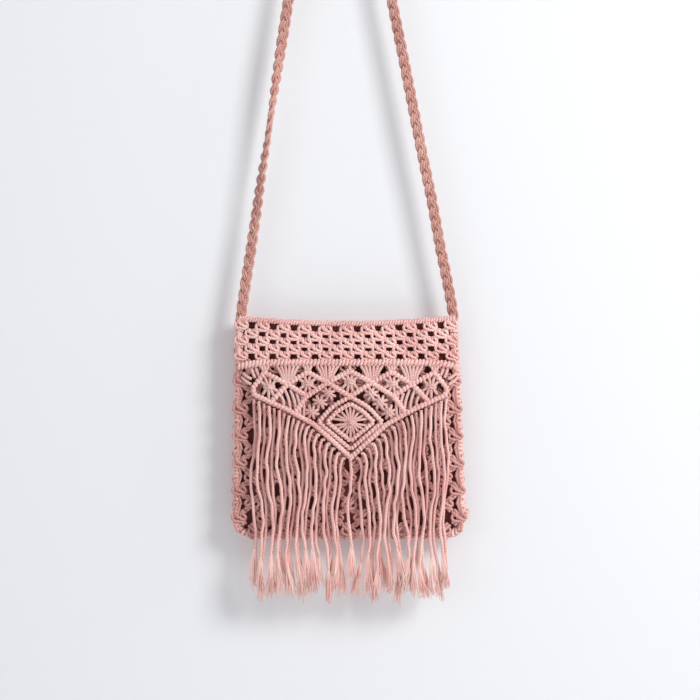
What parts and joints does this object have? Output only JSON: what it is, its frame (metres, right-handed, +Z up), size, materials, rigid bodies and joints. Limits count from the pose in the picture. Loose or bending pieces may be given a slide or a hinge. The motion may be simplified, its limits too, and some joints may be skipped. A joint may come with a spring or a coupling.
{
  "type": "macrame shoulder bag",
  "caption": "Flat knotted cord pouch with a cloth lining, a V ornament and long fringe on its front, and a plaited strap.",
  "frame": {"origin": "underside of the strap where the bag hangs, at the top of the strap's loop", "axes": "+Z up, -Y out of the front of the bag, +X to the right seen from the front"},
  "size_m": [0.2338, 0.0363, 0.8191],
  "materials": {
    "knotted_cord": "matt dusty-pink cotton cord, knotted",
    "ridge_cord": "matt dusty-pink cotton cord in tight half hitches",
    "fringe_cord": "matt three-ply dusty-pink cotton cord with frayed ends",
    "strap_cord": "matt dusty-pink cotton cord, plaited",
    "lining_cloth": "plain woven cloth in deep rose"
  },
  "bodies": {
    "root": {"front_rim": "ridge_cord", "back_rim": "ridge_cord", "front_top_band": "knotted_cord", "cross_ridge": "ridge_cord", "front_net": "knotted_cord", "back_net": "knotted_cord", "v_ornament": "ridge_cord", "left_side_seam": "knotted_cord", "right_side_seam": "knotted_cord", "base_seam": "knotted_cord", "lining_pouch": "lining_cloth", "strap": "strap_cord", "fringe_strand_01": "fringe_cord", "fringe_strand_02": "fringe_cord", "fringe_strand_03": "fringe_cord", "fringe_strand_04": "fringe_cord", "fringe_strand_05": "fringe_cord", "fringe_strand_06": "fringe_cord", "fringe_strand_07": "fringe_cord", "fringe_strand_08": "fringe_cord", "fringe_strand_09": "fringe_cord", "fringe_strand_10": "fringe_cord", "fringe_strand_11": "fringe_cord", "fringe_strand_12": "fringe_cord", "fringe_strand_13": "fringe_cord", "fringe_strand_14": "fringe_cord", "fringe_strand_15": "fringe_cord", "fringe_strand_16": "fringe_cord", "fringe_strand_17": "fringe_cord", "fringe_strand_18": "fringe_cord", "fringe_strand_19": "fringe_cord", "fringe_strand_20": "fringe_cord", "fringe_strand_21": "fringe_cord", "fringe_strand_22": "fringe_cord", "fringe_strand_23": "fringe_cord", "fringe_strand_24": "fringe_cord", "fringe_strand_25": "fringe_cord", "fringe_strand_26": "fringe_cord", "fringe_strand_27": "fringe_cord", "fringe_strand_28": "fringe_cord", "fringe_strand_29": "fringe_cord", "fringe_strand_30": "fringe_cord", "fringe_strand_31": "fringe_cord", "fringe_strand_32": "fringe_cord", "fringe_strand_33": "fringe_cord", "fringe_strand_34": "fringe_cord", "fringe_strand_35": "fringe_cord", "fringe_strand_36": "fringe_cord", "fringe_strand_37": "fringe_cord", "fringe_strand_38": "fringe_cord", "fringe_strand_39": "fringe_cord"}
  },
  "joints": []
}
